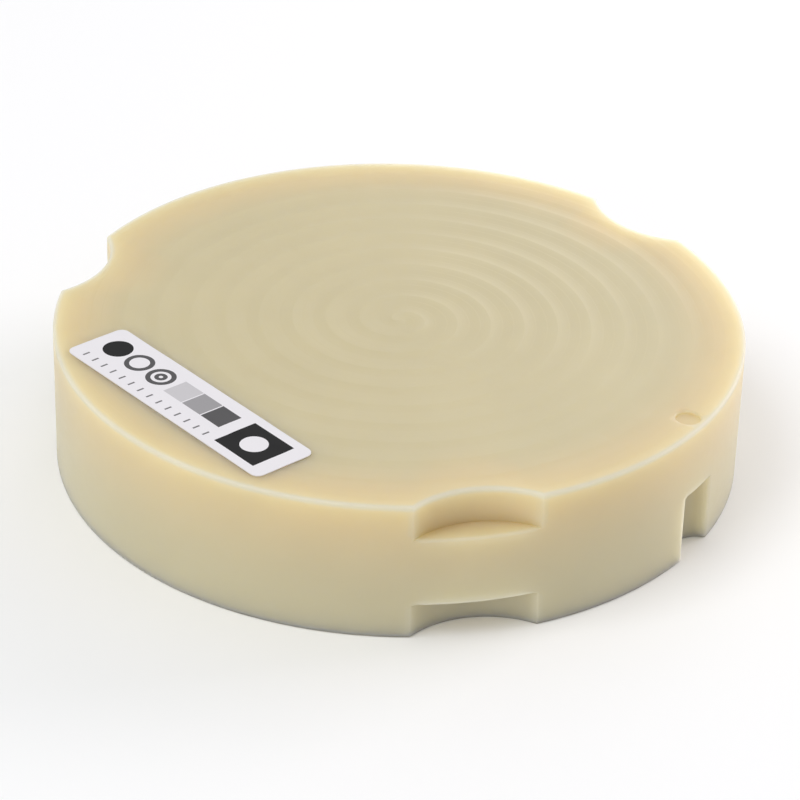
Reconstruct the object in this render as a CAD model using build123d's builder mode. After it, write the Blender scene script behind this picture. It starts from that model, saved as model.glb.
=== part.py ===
from build123d import *
from math import cos, isclose, radians, sin, sqrt
import os

# A round blank of ivory resin that a dental mill cuts crowns from, in millimetres.
# The frame stands at the centre of the lower face, with Z up and the front notch on -Y.

# The blank
disc_diameter = 95.0
disc_thickness = 20.0
edge_break = 0.35  # every edge that the cutters leave is lightly broken

# The half-moon notches, cut into the rim from both faces, where a holder grips the blank
notch_count = 3
front_angle = -90.0
notch_cutter_radius = 13.4  # the curve of a notch's wall
notch_depth = 3.7  # how far the wall lies in from the rim
notch_height = 5.0  # from each face to its ledge

# The half-round groove in the lower half of the rim, which sets how the blank is turned
groove_from_front = 45.0  # angle round from the front notch
groove_radius = 3.5
groove_depth = 2.8
groove_height = 10.0

# The shallow round mark on the upper face, straight above the groove
mark_diameter = 3.5
mark_depth = 0.4
mark_edge_break = 0.15
mark_inset = 2.5  # from the rim to the middle of the mark

# The spiral that the facing cutter left on the upper face
pass_width = 4.6  # from one turn of the spiral to the next
pass_depth = 0.06
facing_margin = 0.8  # between the outermost turn and the notch walls

# The paper label on the upper face
label_from_front = -63.0  # angle round from the front notch
label_length = 41.0
label_width = 9.6
label_thickness = 0.12
label_corner_radius = 1.2
label_margin = 1.7  # between the rim and the label's outer corners
label_skew = 1.5  # degrees that it was stuck on away from the tangent

# Places that follow from the sizes above
disc_radius = disc_diameter / 2
notch_angles = [front_angle + 360 / notch_count * i for i in range(notch_count)]
notch_centre = disc_radius + notch_cutter_radius - notch_depth
upper_ledge = disc_thickness - notch_height
groove_angle = front_angle + groove_from_front
groove_centre = disc_radius + groove_radius - groove_depth
half_turns = int(2 * (disc_radius - notch_depth - facing_margin) / pass_width)
label_angle = front_angle + label_from_front
label_outer_side = sqrt((disc_radius - label_margin) ** 2 - (label_length / 2) ** 2)
label_centre = label_outer_side - label_width / 2


def around(distance, angle):
    # the point at a distance from the axis, at an angle round it
    return (distance * cos(radians(angle)), distance * sin(radians(angle)))


def is_foot(edge):
    # the sharp inner corner where a cutter stopped, at a ledge or at the groove's roof
    stops = [
        (notch_cutter_radius, notch_height),
        (notch_cutter_radius, upper_ledge),
        (groove_radius, groove_height),
    ]
    height = edge.center().Z
    return any(isclose(edge.radius, radius) and isclose(height, stop) for radius, stop in stops)


with BuildPart() as milling_disc:
    with BuildSketch():
        Circle(disc_radius)
    extrude(amount=disc_thickness)
    seam = milling_disc.edges().filter_by(Axis.Z)

    # The notches are cut down from the upper face and up from the lower one, and leave a
    # full round band between them.
    for cut_start in (0, upper_ledge):
        with BuildSketch(Plane.XY.offset(cut_start)):
            with Locations([around(notch_centre, angle) for angle in notch_angles]):
                Circle(notch_cutter_radius)
        extrude(amount=notch_height, mode=Mode.SUBTRACT)

    with BuildSketch():
        with Locations(around(groove_centre, groove_angle)):
            Circle(groove_radius)
    extrude(amount=groove_height, mode=Mode.SUBTRACT)

    feet = milling_disc.edges().filter_by(GeomType.CIRCLE).filter_by(is_foot)
    chamfer(milling_disc.edges() - seam - feet, length=edge_break)

    with BuildSketch(Plane.XY.offset(disc_thickness)):
        with Locations(around(disc_radius - mark_inset, groove_angle)):
            Circle(mark_diameter / 2)
    extrude(amount=-mark_depth, mode=Mode.SUBTRACT)
    mark_edges = milling_disc.edges(Select.LAST).filter_by(GeomType.CIRCLE)
    chamfer(mark_edges.sort_by(Axis.Z)[-1], length=mark_edge_break)

    # The spiral is drawn as half turns about two centres, a quarter of a pass either side of
    # the axis, so that each half turn runs on smoothly from the last. A pass is slightly hollow.
    for turn in range(half_turns):
        side = 1 if turn % 2 == 0 else -1
        turn_centre = side * pass_width / 4
        inner = turn_centre + pass_width * (turn / 2 - 1 / 4)
        ends = [(inner, disc_thickness), (inner + pass_width, disc_thickness)]
        with BuildSketch(Plane.XZ):
            with BuildLine():
                Line(*ends)
                SagittaArc(*ends, -pass_depth)
            make_face()
            split(bisect_by=Plane.YZ.offset(turn_centre))
        turn_axis = Axis((turn_centre, 0, 0), (0, 0, 1))
        revolve(axis=turn_axis, revolution_arc=180 * side, mode=Mode.SUBTRACT)

with BuildPart() as label:
    with BuildSketch(Plane.XY.offset(disc_thickness)):
        with Locations(around(label_centre, label_angle)):
            RectangleRounded(
                label_length,
                label_width,
                label_corner_radius,
                rotation=label_angle + 90 + label_skew,
            )
    extrude(amount=label_thickness)

milling_disc.part.label = "milling_disc"
label.part.label = "label"

os.makedirs("parts", exist_ok=True)
export_step(milling_disc.part, "parts/milling_disc.step")
export_step(label.part, "parts/label.step")
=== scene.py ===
from math import cos, pi, radians, sin

import bmesh
import bpy
import numpy as np
from mathutils import Matrix, Vector


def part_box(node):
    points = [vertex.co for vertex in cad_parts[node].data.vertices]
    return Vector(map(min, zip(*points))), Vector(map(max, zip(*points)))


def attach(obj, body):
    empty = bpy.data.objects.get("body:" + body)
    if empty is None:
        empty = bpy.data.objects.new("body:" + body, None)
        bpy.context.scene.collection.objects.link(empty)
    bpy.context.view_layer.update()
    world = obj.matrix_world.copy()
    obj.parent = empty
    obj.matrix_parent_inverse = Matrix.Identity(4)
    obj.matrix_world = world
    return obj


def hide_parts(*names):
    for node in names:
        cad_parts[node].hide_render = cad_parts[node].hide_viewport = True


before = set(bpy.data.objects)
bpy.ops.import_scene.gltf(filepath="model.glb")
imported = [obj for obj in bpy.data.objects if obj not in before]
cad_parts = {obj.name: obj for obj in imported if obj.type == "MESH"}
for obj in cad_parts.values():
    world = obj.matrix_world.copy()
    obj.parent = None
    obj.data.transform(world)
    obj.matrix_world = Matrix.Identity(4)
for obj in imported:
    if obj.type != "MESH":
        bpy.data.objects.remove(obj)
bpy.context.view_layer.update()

# A milling blank of tooth-coloured resin with a paper label. Lengths in the dictionaries are in
# millimetres and angles in degrees; an angle round the disc counts from +X, with the front at -90.
mm = 0.001
discLow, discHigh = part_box("milling_disc")
labelLow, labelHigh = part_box("label")
discRadius = (discHigh.x - discLow.x) / 2 / mm
discThickness = (discHigh.z - discLow.z) / mm
farAway = 99.0  # distance to an edge where none is near
print("disc sizes read from the frame:", round(discRadius, 3), round(discThickness, 3))

disc = {
    "notchAngles": (-90, 30, 150),
    "notchCutter": 13.4,  # radius of the curve of a notch's wall
    "notchDepth": 3.7,
    "notchHeight": 5.0,  # from each face to its ledge
    "grooveAngle": -45,
    "grooveCutter": 3.5,
    "grooveDepth": 2.8,
    "grooveHeight": 10.0,
    "markRadius": 1.75,
    "markDepth": 0.4,
    "markInset": 2.5,  # from the rim to the middle of the mark
    "edgeRound": 0.35,  # the light rounding along every edge
    "cornerRound": 0.5,  # the same at the upright corners, seen from above
    "faintEdge": 0.6,  # distance kept from the side's and the mark's edges, whose painted highlight line is fainter
    "passWidth": 4.6,  # from one turn of the facing spiral to the next
    "passDepth": 0.06,
    "passCrest": 0.68,  # where the crest lies across a pass, so the slope that faces out is the steeper
    "passFade": 1.5,  # the last stretch of the spiral, over which it runs out
    "facingReach": 43.0,  # the spiral ends this far from the axis
    # how finely the mesh is divided
    "ringStep": 0.4,  # between the mesh rings on the upper face
    "columnStep": 1.15,  # between the mesh columns round a plain stretch of rim
    "padAngle": 0.5,  # a narrow stretch of plain rim beside each corner
    "padCells": 3,
    "cornerCells": 7,
    "notchCells": 32,
    "grooveCells": 10,  # on either side of the mark's block
    "markCells": 16,
    "markBlock": 2.05,  # half the width of the block of cells that is bent into rings round the mark
    "roundCells": 5,
    "wallCells": (9, 5, 4, 9),  # upper notch, plain band, band with the groove, lower notch
    "lowerFaceCells": 29,
}

# seen from above, an outline of the disc is a circle with bites taken out of its rim
# bite = (angle, cutter radius, depth)
notchBites = [(angle, disc["notchCutter"], disc["notchDepth"]) for angle in disc["notchAngles"]]
grooveBite = (disc["grooveAngle"], disc["grooveCutter"], disc["grooveDepth"])


def angleBetween(phi, angle):
    # phi in radians less the angle in degrees, the shorter way round and without its sign
    return np.abs((phi - radians(angle) + pi) % (2 * pi) - pi)


def biteAngles(cutter, depth):
    # in a triangle of the axis, the cutter's centre and the corner round's centre: the angles from
    # the bite's middle at which the cutter's arc ends and at which the plain rim begins
    centre = discRadius + cutter - depth
    corner = disc["cornerRound"]
    reach = discRadius - corner
    rimStart = np.arccos((reach**2 + centre**2 - (cutter + corner) ** 2) / (2 * reach * centre))
    roundCentre = np.array([reach * np.cos(rimStart), reach * np.sin(rimStart)])
    toCutter = np.array([centre, 0]) - roundCentre
    touch = roundCentre + toCutter / np.linalg.norm(toCutter) * corner
    return np.arctan2(touch[1], touch[0]), rimStart


def outlineRadius(phi, bites):
    # r = R on the rim, near root of the ray and the cutter's circle in a bite, and far root of the
    # ray and the small corner circle between them
    r = np.full_like(phi, discRadius)
    for angle, cutter, depth in bites:
        arcEnd, rimStart = biteAngles(cutter, depth)
        centre = discRadius + cutter - depth
        corner = disc["cornerRound"]
        away = angleBetween(phi, angle)
        arc = centre * np.cos(away) - np.sqrt(np.maximum(cutter**2 - (centre * np.sin(away)) ** 2, 0))
        turned = away - rimStart
        reach = discRadius - corner
        bend = reach * np.cos(turned)
        bend = bend + np.sqrt(np.maximum(corner**2 - (reach * np.sin(turned)) ** 2, 0))
        r = np.where(away < rimStart, bend, r)
        r = np.where(away < arcEnd, arc, r)
    return r


def outlineInset(phi, bites, inset):
    # the outline's point less inset times its outward normal, (r, -dr/dphi) / length in polar axes
    r = outlineRadius(phi, bites)
    step = 1e-6
    slope = (outlineRadius(phi + step, bites) - outlineRadius(phi - step, bites)) / (2 * step)
    length = np.hypot(r, slope)
    outX, outY = np.cos(phi), np.sin(phi)
    normalX = (r * outX + slope * outY) / length
    normalY = (r * outY - slope * outX) / length
    return np.stack([r * outX - inset * normalX, r * outY - inset * normalY])


def columnAngles():
    # angles once round the disc as runs of equal steps (start, end, cells), close together where an
    # outline bends
    runs = []
    pad, padCells, cornerCells = disc["padAngle"], disc["padCells"], disc["cornerCells"]
    stops = sorted([*notchBites, grooveBite])
    for i, (angle, cutter, depth) in enumerate(stops):
        arcEnd, rimStart = np.degrees(biteAngles(cutter, depth))
        if (angle, cutter, depth) == grooveBite:
            half = np.degrees(disc["markBlock"] / (discRadius - disc["markInset"]))
            runs.append((angle - arcEnd, angle - half, disc["grooveCells"]))
            runs.append((angle - half, angle + half, disc["markCells"]))
            runs.append((angle + half, angle + arcEnd, disc["grooveCells"]))
        else:
            runs.append((angle - arcEnd, angle + arcEnd, disc["notchCells"]))
        plainStart = angle + rimStart + pad
        runs.append((angle + arcEnd, angle + rimStart, cornerCells))
        runs.append((angle + rimStart, plainStart, padCells))

        nextAngle, nextCutter, nextDepth = stops[(i + 1) % len(stops)]
        nextAngle += 360 if i == len(stops) - 1 else 0
        nextArcEnd, nextRimStart = np.degrees(biteAngles(nextCutter, nextDepth))
        plainEnd = nextAngle - nextRimStart - pad
        cells = int(np.ceil(radians(plainEnd - plainStart) * discRadius / disc["columnStep"]))
        runs.append((plainStart, plainEnd, cells))
        runs.append((plainEnd, plainEnd + pad, padCells))
        runs.append((nextAngle - nextRimStart, nextAngle - nextArcEnd, cornerCells))
    angles = np.concatenate([np.linspace(a, b, n, endpoint=False) for a, b, n in runs])
    return np.radians(np.sort(angles))


def facingHeight(x, y):
    # phase = r / pitch + theta / 2pi runs through 0 to 1 across each pass of the spiral; the height
    # climbs on a half cosine to the crest at phase c, then drops on a shorter one to the next pass
    r, theta = np.hypot(x, y), np.arctan2(y, x)
    phase = (r / disc["passWidth"] + theta / (2 * pi)) % 1
    crest = disc["passCrest"]
    climb = (1 - np.cos(pi * phase / crest)) / 2
    drop = (1 + np.cos(pi * (phase - crest) / (1 - crest))) / 2
    # it fades out at its end, and within a millimetre of the axis
    fade = np.clip((disc["facingReach"] - r) / disc["passFade"], 0, 1) * np.clip(r / 1.0, 0, 1)
    return -disc["passDepth"] * fade * (1 - np.where(phase < crest, climb, drop))


def cornerDistance(phi, bites):
    # the way along the rim to the nearest upright corner of a bite
    nearest = np.full_like(phi, farAway)
    for angle, cutter, depth in bites:
        corner = sum(biteAngles(cutter, depth)) / 2
        nearest = np.minimum(nearest, np.abs(angleBetween(phi, angle) - corner) * discRadius)
    return np.maximum(nearest, disc["faintEdge"])


def stack(rows, xy, z, edge=farAway):
    # adds one ring of the mesh, whose values may differ from column to column: plan point, height
    # and the distance to the nearest edge, which the resin's painted glow and painted highlight line follow
    rows.append(np.stack([*xy, *np.broadcast_arrays(z, edge, xy[0])[:2]], axis=-1))


def discRings(phi):
    # the whole skin as rings from the upper centre out, down the rim and in to the lower centre;
    # where a ledge has no width its rings fall together and are merged later
    rows = []
    edge, top = disc["edgeRound"], discThickness
    ray = np.stack([np.cos(phi), np.sin(phi)])
    upper, lower, band = notchBites, [*notchBites, grooveBite], [grooveBite]
    quarter = np.radians(np.linspace(0, 90, disc["roundCells"] + 1))
    reach = disc["facingReach"]
    for r in np.linspace(0, reach, int(reach / disc["ringStep"]) + 1)[1:]:
        height = top + facingHeight(r * ray[0], r * ray[1])
        stack(rows, r * ray, height, outlineRadius(phi, upper) - r)
    rimTop = outlineInset(phi, upper, edge)
    markStart = len(rows) - 1
    for t in np.linspace(0, 1, disc["markCells"] + 1)[1:]:
        place = (1 - t) * reach * ray + t * rimTop
        stack(rows, place, top, outlineRadius(phi, upper) - np.hypot(*place))
    for turn in quarter[1:]:
        place = outlineInset(phi, upper, edge * (1 - np.sin(turn)))
        stack(rows, place, top - edge * (1 - np.cos(turn)), 0)

    def ledge(innerBites, outerBites, height, side):
        # a level shelf from the inner outline to the outer one, whose outer edge is rounded: a
        # quarter circle of radius min(edge, half the shelf); side is +1 if the wall stands above it
        inner, outer = outlineRadius(phi, innerBites), outlineRadius(phi, outerBites)
        roundOff = np.minimum(edge, (outer - inner) / 2)
        shelf = outer - inner > edge  # where there is none, its rings lie on the wall
        innerCorner, outerCorner = cornerDistance(phi, innerBites), cornerDistance(phi, outerBites)
        middle = (inner + outer - roundOff) / 2
        rings = [(inner * ray, height, np.where(shelf, outer - inner, innerCorner))]
        rings.append((middle * ray, height, np.where(shelf, outer - middle, innerCorner)))
        for turn in quarter:
            r = outer - roundOff * (1 - np.sin(turn))
            z = height - side * roundOff * (1 - np.cos(turn))
            rings.append((r * ray, z, np.where(shelf, disc["faintEdge"], outerCorner)))
        for ring in rings if side > 0 else rings[::-1]:
            stack(rows, *ring)

    def wall(bites, start, end, cells):
        # an upright stretch of rim between two heights, ends left out
        corner = cornerDistance(phi, bites)
        for z in np.linspace(start, end, cells + 1)[1:-1]:
            stack(rows, outlineInset(phi, bites, 0), z, np.minimum(corner, min(z, top - z)))

    upperLedge, lowerLedge, roof = top - disc["notchHeight"], disc["notchHeight"], disc["grooveHeight"]
    upperCells, plainCells, bandCells, lowerCells = disc["wallCells"]
    wall(upper, top - edge, upperLedge, upperCells)
    ledge(upper, [], upperLedge, 1)
    wall([], upperLedge - edge, roof + edge, plainCells)
    ledge(band, [], roof, -1)
    wall(band, roof, lowerLedge + edge, bandCells)
    ledge(lower, band, lowerLedge, -1)
    wall(lower, lowerLedge, edge, lowerCells)
    for turn in quarter[::-1]:
        stack(rows, outlineInset(phi, lower, edge * (1 - np.sin(turn))), edge * (1 - np.cos(turn)), 0)
    rimBottom = outlineInset(phi, lower, edge)
    for t in np.linspace(0, 1, disc["lowerFaceCells"] + 1)[1:-1]:
        stack(rows, (1 - t) * rimBottom, 0.0, t * discRadius)
    return np.array(rows), markStart


def bendMark(rings, phi, markStart):
    # a square block of the mesh is turned into rings round the mark: with s the square radius of a
    # cell, the plan point is centre + rho(s) * direction, and the height falls by depth * fall(s)
    half = disc["markCells"] // 2
    centreAngle = radians(disc["grooveAngle"])
    middle = int(np.argmin(angleBetween(phi, disc["grooveAngle"])))
    steps = np.arange(-half, half + 1)
    chosen = np.ix_(markStart + half + steps, middle + steps)
    block = rings[chosen]
    p, q = np.meshgrid(steps / half, steps / half)
    s = np.maximum(np.abs(p), np.abs(q))
    lengthPq = np.maximum(np.hypot(p, q), 1e-9)
    out = np.array([cos(centreAngle), sin(centreAngle)])
    side = np.array([-out[1], out[0]])
    direction = (q / lengthPq)[..., None] * out + (p / lengthPq)[..., None] * side

    # s at the end of the flat floor, in the fillet, at the top of the wall and past its round
    floorEnd, fillet, wallTop, outside = 0.5, 0.625, 0.75, 0.875
    radius = disc["markRadius"]
    reaches = [0, radius - 0.3, radius - 0.1, radius, radius + 0.12]
    rho = np.interp(s, [0, floorEnd, fillet, wallTop, outside], reaches)
    centre = (discRadius - disc["markInset"]) * out
    ringed = centre + rho[..., None] * direction
    share = np.clip((s - outside) / (1 - outside), 0, 1)[..., None]
    block[..., :2] = (1 - share) * ringed + share * block[..., :2]
    fall = np.interp(s, [floorEnd, fillet, wallTop, outside], [1, 0.95, 0.2, 0])
    block[..., 2] -= disc["markDepth"] * fall

    # three times the way from the mark's edge, so its painted highlight line is a third as wide as the others
    fromEdge = np.abs(np.linalg.norm(block[..., :2] - centre, axis=-1) - radius)
    block[..., 3] = np.minimum(block[..., 3], disc["faintEdge"] + 3 * fromEdge)
    rings[chosen] = block


def newPiece(name, points, faces, edgeDistance=None, flatPlace=None):
    # a mesh object from points in millimetres, its doubled points merged and its faces turned
    # outwards; edges sharper than 50 degrees stay sharp
    mesh = bpy.data.meshes.new(name)
    mesh.from_pydata((points * mm).tolist(), [], faces)
    if edgeDistance is not None:
        attribute = mesh.attributes.new("edge_distance", "FLOAT", "POINT")
        attribute.data.foreach_set("value", edgeDistance)
    if flatPlace is not None:
        corners = np.empty(len(mesh.loops), int)
        mesh.loops.foreach_get("vertex_index", corners)
        mesh.uv_layers.new(name="label_mm").data.foreach_set("uv", flatPlace[corners].ravel())
    skin = bmesh.new()
    skin.from_mesh(mesh)
    bmesh.ops.remove_doubles(skin, verts=skin.verts, dist=1e-7)
    bmesh.ops.dissolve_degenerate(skin, edges=skin.edges, dist=1e-8)
    bmesh.ops.recalc_face_normals(skin, faces=skin.faces)
    skin.to_mesh(mesh)
    skin.free()
    mesh.shade_smooth()
    mesh.set_sharp_from_angle(angle=radians(50))
    piece = bpy.data.objects.new(name, mesh)
    bpy.context.collection.objects.link(piece)
    return piece


def gridCells(rowCount, columnCount, rowLength):
    # corners of each cell of a grid whose points are numbered row by row, point (i, j) being
    # i * rowLength + j: (i, j), (i + 1, j), (i + 1, j + 1), (i, j + 1), where j goes on at 0 past a row's end
    i, j = np.meshgrid(np.arange(rowCount), np.arange(columnCount), indexing="ij")
    row, nextRow, nextJ = i * rowLength, (i + 1) * rowLength, (j + 1) % rowLength
    return np.stack([row + j, nextRow + j, nextRow + nextJ, row + nextJ], -1).reshape(-1, 4)


def meshFromRings(name, rings, closeEnds):
    # closed skin of a grid of rings: quads between neighbours and a fan at each end
    ringCount, columns = rings.shape[:2]
    points = rings.reshape(-1, 4)
    faces = gridCells(ringCount - 1, columns, columns).tolist()
    around = np.arange(columns)
    for height, first in closeEnds:
        pole = np.full(columns, len(points))
        points = np.vstack([points, [[0, 0, height, farAway]]])
        ring = around if first else around + (ringCount - 1) * columns
        following = np.roll(ring, -1)
        fan = [pole, ring, following] if first else [pole, following, ring]
        faces += np.stack(fan, -1).tolist()
    return newPiece(name, points[:, :3], faces, edgeDistance=points[:, 3])


phi = columnAngles()
rings, markStart = discRings(phi)
bendMark(rings, phi, markStart)
resinDisc = meshFromRings("resin_disc", rings, [(discThickness, True), (0.0, False)])
steady = resinDisc.modifiers.new("flat faces stay flat", "WEIGHTED_NORMAL")
steady.keep_sharp = True
print("disc skin:", rings.shape[0], "rings of", rings.shape[1], "columns")

label = {
    "length": 41.0,
    "width": 9.6,
    "corner": 1.2,
    "angle": -153.0,  # where it lies round the disc
    "skew": 1.5,  # off the tangent
    "cells": (96, 24),  # along and across
}
labelThickness = (labelHigh.z - labelLow.z) / mm
labelCentre = (Vector(labelLow) + Vector(labelHigh)) / 2 / mm


def labelSheet():
    # a grid (x, y) over the rectangle, whose corner squares (a, b) are drawn in to quarter discs by
    # a * sqrt(1 - b^2 / 2), b * sqrt(1 - a^2 / 2); the sheet dips with half of the facing spiral
    across, up = label["cells"]
    halfX, halfY, corner = label["length"] / 2, label["width"] / 2, label["corner"]
    x, y = np.meshgrid(np.linspace(-halfX, halfX, across + 1), np.linspace(-halfY, halfY, up + 1))
    flatX, flatY = halfX - corner, halfY - corner
    a, b = np.clip(np.abs(x) - flatX, 0, None) / corner, np.clip(np.abs(y) - flatY, 0, None) / corner
    roundX = np.sign(x) * (flatX + corner * a * np.sqrt(1 - b**2 / 2))
    roundY = np.sign(y) * (flatY + corner * b * np.sqrt(1 - a**2 / 2))
    inCorner = (a > 0) & (b > 0)
    x, y = np.where(inCorner, roundX, x), np.where(inCorner, roundY, y)

    turn = radians(label["angle"] + 90 + label["skew"])
    placeX = labelCentre.x + x * cos(turn) - y * sin(turn)
    placeY = labelCentre.y + x * sin(turn) + y * cos(turn)
    dip = facingHeight(placeX, placeY) / 2
    lower = np.stack([placeX, placeY, discThickness + dip], -1).reshape(-1, 3)
    upper = lower + [0, 0, labelThickness]

    # the lower sheet, the upper one and the strip of side between them
    count = len(lower)
    cells = gridCells(up, across, across + 1)
    grid = np.arange(count).reshape(up + 1, across + 1)
    rim = np.concatenate([grid[0, :-1], grid[:-1, -1], grid[-1, :0:-1], grid[:0:-1, 0]])
    following = np.roll(rim, -1)
    sides = np.stack([rim, following, following + count, rim + count], -1)
    under, over = cells[:, [1, 2, 3, 0]], cells[:, [0, 3, 2, 1]] + count
    faces = under.tolist() + over.tolist() + sides.tolist()
    flatPlace = np.tile(np.stack([x, y], -1).reshape(-1, 2), (2, 1))
    return newPiece("label_strip", np.vstack([lower, upper]), faces, flatPlace=flatPlace)


labelStrip = labelSheet()
print("label sheet:", len(labelStrip.data.polygons), "faces")


def linear(hexColour):
    # sRGB hex to linear light
    channels = [int(hexColour[k : k + 2], 16) / 255 for k in (1, 3, 5)]
    return [c / 12.92 if c <= 0.04045 else ((c + 0.055) / 1.055) ** 2.4 for c in channels] + [1.0]


def add(tree, kind, links=(), inputs=(), **settings):
    # a node with its settings, its input values by name or number, and its links as (input, socket)
    node = tree.nodes.new(kind)
    for name, value in settings.items():
        setattr(node, name, value)
    for name, value in dict(inputs).items():
        node.inputs[name].default_value = value
    for name, socket in links:
        tree.links.new(socket, node.inputs[name])
    return node


def newMaterial(name):
    material = bpy.data.materials.new(name)
    material.use_nodes = True
    material.node_tree.nodes.clear()
    return material, material.node_tree


resin = {
    "body": "#CCC19C",  # the middle of the faces
    "rim": "#D5C399",  # painted glow: the lighter, warmer band near the rim, which the upper wall takes too
    "foot": "#C7BE9E",  # painted shade: the greyer, darker lower end of the wall; at its upper end the wall is as warm as the rim's painted glow
    "edge": "#CBC3AA",  # painted highlight: the pale line along an edge, standing for the light that gets out on both sides
    # width of the painted highlight line along an edge
    "paintedHighlightWidth": 0.9,
    # width of the painted glow near the rim
    "paintedRimGlowWidth": 13.0,
    "paintedShadeHeight": 4.0,  # the wall's painted shade turns to painted warm light from here up
    "depth": 11.0,  # how far light wanders in the resin
    "depthByColour": (1.0, 0.94, 0.72),  # shares of that depth for red, green and blue light
    "wandering": 1.0,  # share of the light that does
    "ior": 1.49,  # of PMMA
    "roughness": 0.36,
    "edgeRoughness": 0.22,  # how much rougher the broken edges are
    "grainRoughness": 0.06,  # how far the grain takes the roughness up and down
    "grainSize": 1.2,
    "passMark": 0.016,  # step that the cutter's edge left along each turn of the spiral
    "fineMark": 0.006,  # the same for the finer lines
    "fineLines": 3,  # of them to a pass, drawn as coarse as they need to show
    "lineFall": 0.14,  # share of a line's width that its steep side takes
    "wallMark": 0.004,  # height of the lines that turning left round the rim
    "wallPitch": 0.5,  # a usual turning feed of about 0.1 is too fine to show, so it is drawn coarser
    "wallStretch": 0.02,  # how much slower the wall's noise changes round the rim than up it
    "cloudSize": 14.0,  # slow clouds in the shade of the resin
    "cloudShade": 0.02,  # how much they lighten and darken it
    "faceLean": (0.6, 0.9),  # the skin goes from wall to face as its normal's height does this
}


def sawLines(tree, phase, count, step):
    # height of count lines to each whole of the phase: a short fall, then a slow climb back
    part = add(tree, "ShaderNodeMath", [(0, phase)], {1: count}, operation="MULTIPLY").outputs[0]
    share = add(tree, "ShaderNodeMath", [(0, part)], operation="FRACT").outputs[0]
    down, up = {2: resin["lineFall"], 3: step, 4: 0}, {1: resin["lineFall"], 4: step}
    fall = add(tree, "ShaderNodeMapRange", [(0, share)], down, interpolation_type="SMOOTHSTEP")
    climb = add(tree, "ShaderNodeMapRange", [(0, share)], up)
    both = [(0, fall.outputs[0]), (1, climb.outputs[0])]
    return add(tree, "ShaderNodeMath", both, operation="MAXIMUM").outputs[0]


def facingLines(tree, place):
    # the phase that facingHeight has, from the same angle and reach, less the crest's; the coarse
    # line of each pass and the finer ones are added up
    axes = add(tree, "ShaderNodeSeparateXYZ", [(0, place)]).outputs
    yx = [(0, axes["Y"]), (1, axes["X"])]
    angle = add(tree, "ShaderNodeMath", yx, operation="ARCTAN2").outputs[0]
    flat = add(tree, "ShaderNodeVectorMath", [(0, place)], {1: (1, 1, 0)}, operation="MULTIPLY")
    reach = add(tree, "ShaderNodeVectorMath", [(0, flat.outputs[0])], operation="LENGTH").outputs["Value"]
    pitch = {1: disc["passWidth"] * mm}
    turns = add(tree, "ShaderNodeMath", [(0, reach)], pitch, operation="DIVIDE").outputs[0]
    angleAndTurns = [(0, angle), (2, turns)]
    phase = add(tree, "ShaderNodeMath", angleAndTurns, {1: 0.5 / pi}, operation="MULTIPLY_ADD").outputs[0]
    crest = {1: disc["passCrest"]}
    fromCrest = add(tree, "ShaderNodeMath", [(0, phase)], crest, operation="SUBTRACT").outputs[0]
    coarse = sawLines(tree, fromCrest, 1, resin["passMark"] * mm)
    fine = sawLines(tree, fromCrest, resin["fineLines"], resin["fineMark"] * mm)
    return add(tree, "ShaderNodeMath", [(0, coarse), (1, fine)]).outputs[0]


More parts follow.
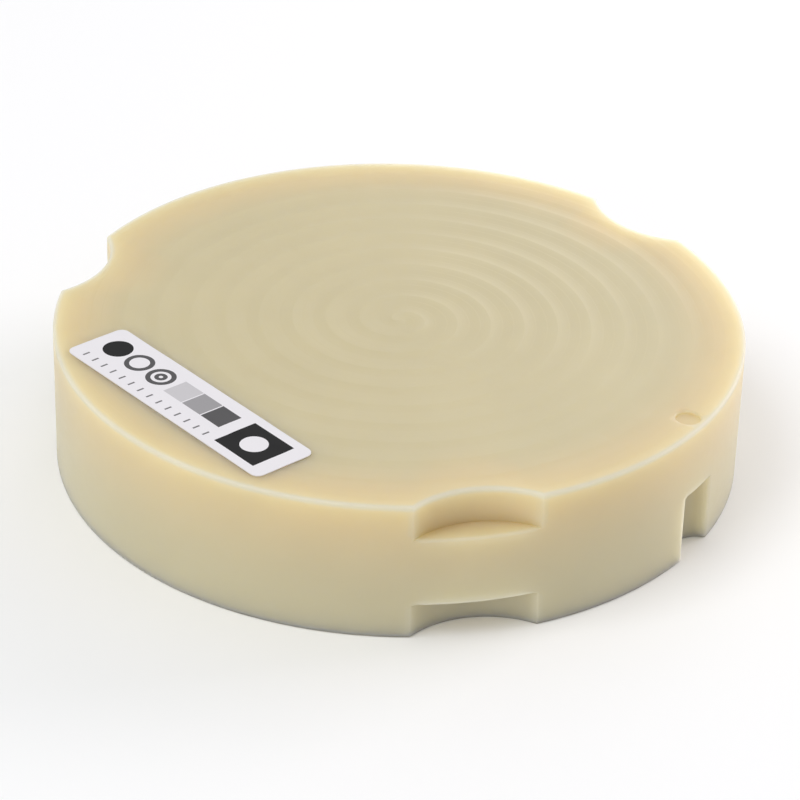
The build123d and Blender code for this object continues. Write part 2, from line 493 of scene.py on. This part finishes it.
def milledResin():
    # PMMA, faced and notched by milling: light wanders under a satin skin, so edges glow and the
    # hollows turn warm, partly from that scattering and partly from painted light in the colour: a
    # painted glow near the rim, a painted highlight line along the edges and painted shade low on the
    # wall; and the cutter's fine spiral lines catch the light on both faces
    material, tree = newMaterial("milled_ivory_pmma")
    place = add(tree, "ShaderNodeTexCoord").outputs["Object"]
    upright = add(tree, "ShaderNodeNewGeometry").outputs["Normal"]
    lean = add(tree, "ShaderNodeSeparateXYZ", [(0, upright)]).outputs["Z"]
    level = add(tree, "ShaderNodeMath", [(0, lean)], operation="ABSOLUTE").outputs[0]
    wallLean, faceLean = resin["faceLean"]
    onFace = add(tree, "ShaderNodeMapRange", [(0, level)], {1: wallLean, 2: faceLean}).outputs[0]

    # lines of facing where the skin looks up or down; on the wall, a noise drawn out round the rim
    # stands for the lines of turning
    stretch = {1: (resin["wallStretch"], resin["wallStretch"], 1)}
    drawnOut = add(tree, "ShaderNodeVectorMath", [(0, place)], stretch, operation="MULTIPLY").outputs[0]
    wallScale = {"Scale": 1 / (resin["wallPitch"] * mm), "Detail": 2}
    wallNoise = add(tree, "ShaderNodeTexNoise", [("Vector", drawnOut)], wallScale).outputs[0]
    wallHeight = {1: resin["wallMark"] * mm}
    wallLines = add(tree, "ShaderNodeMath", [(0, wallNoise)], wallHeight, operation="MULTIPLY").outputs[0]
    lines = [(0, onFace), (2, wallLines), (3, facingLines(tree, place))]
    marks = add(tree, "ShaderNodeMix", lines).outputs[0]
    bump = add(tree, "ShaderNodeBump", [("Height", marks)], {"Strength": 1.0, "Distance": 1.0})

    # how far a point belongs to the painted glow of the rim band, the painted highlight line along the edges
    # and the painted warm light of the upper wall
    edgeWay = add(tree, "ShaderNodeAttribute", attribute_name="edge_distance").outputs["Fac"]
    height = add(tree, "ShaderNodeSeparateXYZ", [(0, place)]).outputs["Z"]
    rimFall = {2: resin["paintedRimGlowWidth"], 3: 1, 4: 0}
    edgeFall = {2: resin["paintedHighlightWidth"], 3: 1, 4: 0}
    warmRise = {1: resin["paintedShadeHeight"] * mm, 2: discThickness * mm}
    paintedRimGlow = add(tree, "ShaderNodeMapRange", [(0, edgeWay)], rimFall, interpolation_type="SMOOTHERSTEP")
    paintedHighlightAndRoughEdge = add(tree, "ShaderNodeMapRange", [(0, edgeWay)], edgeFall, interpolation_type="SMOOTHSTEP")
    paintedWallShading = add(tree, "ShaderNodeMapRange", [(0, height)], warmRise, interpolation_type="SMOOTHSTEP")
    paintedRimGlow, paintedHighlightAndRoughEdge, paintedWallShading = paintedRimGlow.outputs[0], paintedHighlightAndRoughEdge.outputs[0], paintedWallShading.outputs[0]

    # the colours of the face and the wall, painted lighter and warmer near the rim and up the wall
    # and painted darker towards its foot, the painted highlight line over both, then slow clouds from a
    # noise that lies mostly between 0.3 and 0.7
    body, rim, foot, edge = [linear(resin[name]) for name in ("body", "rim", "foot", "edge")]
    face = add(tree, "ShaderNodeMix", [(0, paintedRimGlow)], {6: body, 7: rim}, data_type="RGBA").outputs[2]
    wall = add(tree, "ShaderNodeMix", [(0, paintedWallShading)], {6: foot, 7: rim}, data_type="RGBA").outputs[2]
    faceAndWall = [(0, onFace), (6, wall), (7, face)]
    banded = add(tree, "ShaderNodeMix", faceAndWall, data_type="RGBA").outputs[2]
    lined = add(tree, "ShaderNodeMix", [(0, paintedHighlightAndRoughEdge), (6, banded)], {7: edge}, data_type="RGBA").outputs[2]
    cloudScale = {"Scale": 1 / (resin["cloudSize"] * mm), "Detail": 3}
    clouds = add(tree, "ShaderNodeTexNoise", [("Vector", place)], cloudScale).outputs[0]
    shade = {1: 0.3, 2: 0.7, 3: 1 - resin["cloudShade"], 4: 1 + resin["cloudShade"]}
    cloudLight = add(tree, "ShaderNodeMapRange", [(0, clouds)], shade).outputs[0]
    clouded = add(tree, "ShaderNodeVectorMath", [(0, lined), (3, cloudLight)], operation="SCALE").outputs[0]

    # a satin grain, rougher along the broken edges
    grainScale = {"Scale": 1 / (resin["grainSize"] * mm), "Detail": 4}
    grain = add(tree, "ShaderNodeTexNoise", [("Vector", place)], grainScale).outputs[0]
    smoothest, roughest = [resin["roughness"] + side * resin["grainRoughness"] for side in (-1, 1)]
    satin = add(tree, "ShaderNodeMapRange", [(0, grain)], {3: smoothest, 4: roughest}).outputs[0]
    extra = {1: resin["edgeRoughness"]}
    rough = add(tree, "ShaderNodeMath", [(0, paintedHighlightAndRoughEdge), (2, satin)], extra, operation="MULTIPLY_ADD").outputs[0]

    skinLinks = [("Normal", bump.outputs[0]), ("Base Color", clouded), ("Roughness", rough)]
    skinValues = {
        "IOR": resin["ior"],
        "Subsurface Weight": resin["wandering"],
        "Subsurface Radius": resin["depthByColour"],
        "Subsurface Scale": resin["depth"] * mm,
    }
    skin = add(tree, "ShaderNodeBsdfPrincipled", skinLinks, skinValues)
    add(tree, "ShaderNodeOutputMaterial", [(0, skin.outputs[0])])
    return material


# the print: places are along and across from the label's middle, and what comes later is laid over
# what came before
labelPrint = {
    "paper": "#E6E4E8",
    "ink": "#0E0E10",
    "ticks": (-5.0, -3.2, 13.3, 0.55),  # middle and half sizes of the row of ticks
    "tickGap": 2.0,
    "tickHalf": 0.15,
    "tickDarkness": 0.8,
    # middle, half sizes and darkness
    "boxes": (
        (14.0, 0.0, 4.0, 3.4, 1.0),
        (-2.0, 0.9, 1.9, 1.9, 0.3),
        (2.0, 0.9, 1.9, 1.9, 0.6),
        (6.0, 0.9, 1.9, 1.9, 0.9),
    ),
    # middle, radius of the line, half its width and darkness; a filled spot has radius 0
    "rings": (
        (-16.4, 0.9, 0, 2.1, 1.0),
        (-11.6, 0.9, 1.75, 0.35, 0.9),
        (-6.9, 0.9, 1.75, 0.35, 0.9),
        (-6.9, 0.9, 0.6, 0.3, 0.9),
        (14.0, 0.0, 0, 1.9, 0.0),
    ),
    "fibre": 0.4,  # paper fibres are about 0.03 wide, too fine to show, so they are drawn coarser
    "fibreHeight": 0.004,
    "fibreShade": 0.015,  # how much the mottling lightens and darkens the paper
    "paperRoughness": 0.5,
    "inkRoughness": 0.65,
    "gloss": 0.3,
}


def inBox(tree, along, across, x, y, halfX, halfY):
    # 1 where |along - x| <= halfX and |across - y| <= halfY, and 0 elsewhere
    inX = add(tree, "ShaderNodeMath", [(0, along)], {1: x, 2: halfX}, operation="COMPARE").outputs[0]
    inY = add(tree, "ShaderNodeMath", [(0, across)], {1: y, 2: halfY}, operation="COMPARE").outputs[0]
    return add(tree, "ShaderNodeMath", [(0, inX), (1, inY)], operation="MULTIPLY").outputs[0]


def onRing(tree, place, x, y, radius, half):
    # 1 where |distance from (x, y) - radius| <= half, and 0 elsewhere
    middle = {1: (x, y, 0)}
    away = add(tree, "ShaderNodeVectorMath", [(0, place)], middle, operation="DISTANCE").outputs["Value"]
    band = {1: radius, 2: half}
    return add(tree, "ShaderNodeMath", [(0, away)], band, operation="COMPARE").outputs[0]


def labelPaper():
    # calendered label paper with a matt black print: flat white, faint fibre, a trace of sheen
    material, tree = newMaterial("calendered_label_paper")
    place = add(tree, "ShaderNodeUVMap", uv_map="label_mm").outputs[0]
    along, across, _ = add(tree, "ShaderNodeSeparateXYZ", [(0, place)]).outputs

    # ticks stand where the zigzag of the place along the label comes down to 0
    fold, tickBand = {1: labelPrint["tickGap"] / 2}, {1: 0, 2: labelPrint["tickHalf"]}
    zigzag = add(tree, "ShaderNodeMath", [(0, along)], fold, operation="PINGPONG").outputs[0]
    tick = add(tree, "ShaderNodeMath", [(0, zigzag)], tickBand, operation="COMPARE").outputs[0]
    inRow = inBox(tree, along, across, *labelPrint["ticks"])
    tickShape = add(tree, "ShaderNodeMath", [(0, tick), (1, inRow)], operation="MULTIPLY").outputs[0]
    tickTone = {1: labelPrint["tickDarkness"]}
    tone = add(tree, "ShaderNodeMath", [(0, tickShape)], tickTone, operation="MULTIPLY").outputs[0]

    # a shape's darkness takes the tone's place wherever the shape is
    shapes = [(inBox(tree, along, across, *box[:4]), box[4]) for box in labelPrint["boxes"]]
    shapes += [(onRing(tree, place, *ring[:4]), ring[4]) for ring in labelPrint["rings"]]
    for shape, darkness in shapes:
        tone = add(tree, "ShaderNodeMix", [(0, shape), (2, tone)], {3: darkness}).outputs[0]

    fibreScale = {"Scale": 1 / labelPrint["fibre"], "Detail": 4}
    fibre = add(tree, "ShaderNodeTexNoise", [("Vector", place)], fibreScale).outputs[0]
    mottling = {3: 1 - labelPrint["fibreShade"], 4: 1 + labelPrint["fibreShade"]}
    fibreLight = add(tree, "ShaderNodeMapRange", [(0, fibre)], mottling).outputs[0]
    shades = {6: linear(labelPrint["paper"]), 7: linear(labelPrint["ink"])}
    printed = add(tree, "ShaderNodeMix", [(0, tone)], shades, data_type="RGBA").outputs[2]
    lit = [(0, printed), (3, fibreLight)]
    colour = add(tree, "ShaderNodeVectorMath", lit, operation="SCALE").outputs[0]
    roughnesses = {3: labelPrint["paperRoughness"], 4: labelPrint["inkRoughness"]}
    matt = add(tree, "ShaderNodeMapRange", [(0, tone)], roughnesses).outputs[0]
    relief = {"Strength": 1.0, "Distance": labelPrint["fibreHeight"] * mm}
    bump = add(tree, "ShaderNodeBump", [("Height", fibre)], relief)
    skinLinks = [("Base Color", colour), ("Roughness", matt), ("Normal", bump.outputs[0])]
    skin = add(tree, "ShaderNodeBsdfPrincipled", skinLinks, {"Specular IOR Level": labelPrint["gloss"]})
    add(tree, "ShaderNodeOutputMaterial", [(0, skin.outputs[0])])
    return material


studio = {
    "floorColour": "#FAFBFC",
    "floorRoughness": 0.8,
    "floorHalf": 3000,
    "world": 0.6,
    "worldColour": "#FFFFFF",
    # name: (azimuth from the camera, elevation, distance, width, watts, colour)
    "lights": {
        "key": (-58, 60, 900, 500, 2.6, "#FFFFFF"),
        "back": (161, 28, 900, 500, 0.7, "#FFFFFF"),
        "side": (117, 16, 700, 350, 2.4, "#FFF6FA"),
        "rake": (168, 12, 700, 260, 0.14, "#FFF6F2"),
        "fill": (-46, 8, 900, 450, 1.5, "#FFFFFF"),
    },
}


def paleCard():
    # matt white card, which gives a soft shadow and no reflection
    material, tree = newMaterial("pale_card")
    values = {"Base Color": linear(studio["floorColour"]), "Roughness": studio["floorRoughness"]}
    skin = add(tree, "ShaderNodeBsdfPrincipled", inputs=values)
    add(tree, "ShaderNodeOutputMaterial", [(0, skin.outputs[0])])
    return material


floorMesh = bpy.data.meshes.new("floor")
floorEnd = studio["floorHalf"] * mm
floorCorners = [(x * floorEnd, y * floorEnd, 0) for x, y in ((-1, -1), (1, -1), (1, 1), (-1, 1))]
floorMesh.from_pydata(floorCorners, [], [(0, 1, 2, 3)])
floor = bpy.data.objects.new("floor", floorMesh)
bpy.context.collection.objects.link(floor)

for piece, make in ((resinDisc, milledResin), (labelStrip, labelPaper), (floor, paleCard)):
    piece.data.materials.append(make())
riders = ((resinDisc, "milling_disc", "ivory_resin"), (labelStrip, "label", "label_paper"))
for piece, node, slot in riders:
    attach(piece, "root")
    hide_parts(node)
print("materials and riders done")

camera = {
    "azimuth": -13.3,  # round from the front
    "elevation": 31.05,
    "roll": 1.78,
    "distance": 432.9,
    "target": (-4.59, -20.99),  # on the upper face
    "lens": 147.6,
}


def facing(azimuth, elevation):
    # the direction from the disc to something seen at an azimuth, where 0 is -Y, and an elevation
    a, e = radians(azimuth), radians(elevation)
    return Vector((sin(a) * cos(e), -cos(a) * cos(e), sin(e)))


def placeCamera():
    # looks from the distance at the target; its level axes are turned by the roll about the view
    back = facing(camera["azimuth"], camera["elevation"])
    target = Vector((*camera["target"], discThickness)) * mm
    level = Vector((0, 0, 1)).cross(back).normalized()
    up = back.cross(level)
    turn = radians(camera["roll"])
    right = level * cos(turn) + up * sin(turn)
    up = back.cross(right)
    eye = bpy.data.objects.new("camera", bpy.data.cameras.new("camera"))
    eye.data.sensor_width = 36
    eye.data.lens = camera["lens"]
    eye.data.clip_start = 0.01
    axes = Matrix((right, up, back)).transposed().to_4x4()
    eye.matrix_world = Matrix.Translation(target + back * camera["distance"] * mm) @ axes
    bpy.context.collection.objects.link(eye)
    bpy.context.scene.camera = eye


def placeLight(name, azimuth, elevation, distance, width, watts, colour):
    # a square soft box that shines at the middle of the disc's lower face
    out = facing(camera["azimuth"] + azimuth, elevation)
    data = bpy.data.lights.new(name, "AREA")
    data.size = width * mm
    data.energy = watts
    data.color = linear(colour)[:3]
    lamp = bpy.data.objects.new(name, data)
    turned = out.to_track_quat("Z", "Y").to_matrix().to_4x4()
    lamp.matrix_world = Matrix.Translation(out * distance * mm) @ turned
    bpy.context.collection.objects.link(lamp)


placeCamera()
for name, values in studio["lights"].items():
    placeLight(name, *values)
world = bpy.data.worlds.new("studio")
world.use_nodes = True
background = world.node_tree.nodes["Background"].inputs
background["Color"].default_value = linear(studio["worldColour"])
background["Strength"].default_value = studio["world"]
bpy.context.scene.world = world
bpy.context.scene.view_settings.view_transform = "Standard"
print("camera and", len(studio["lights"]), "lights placed")
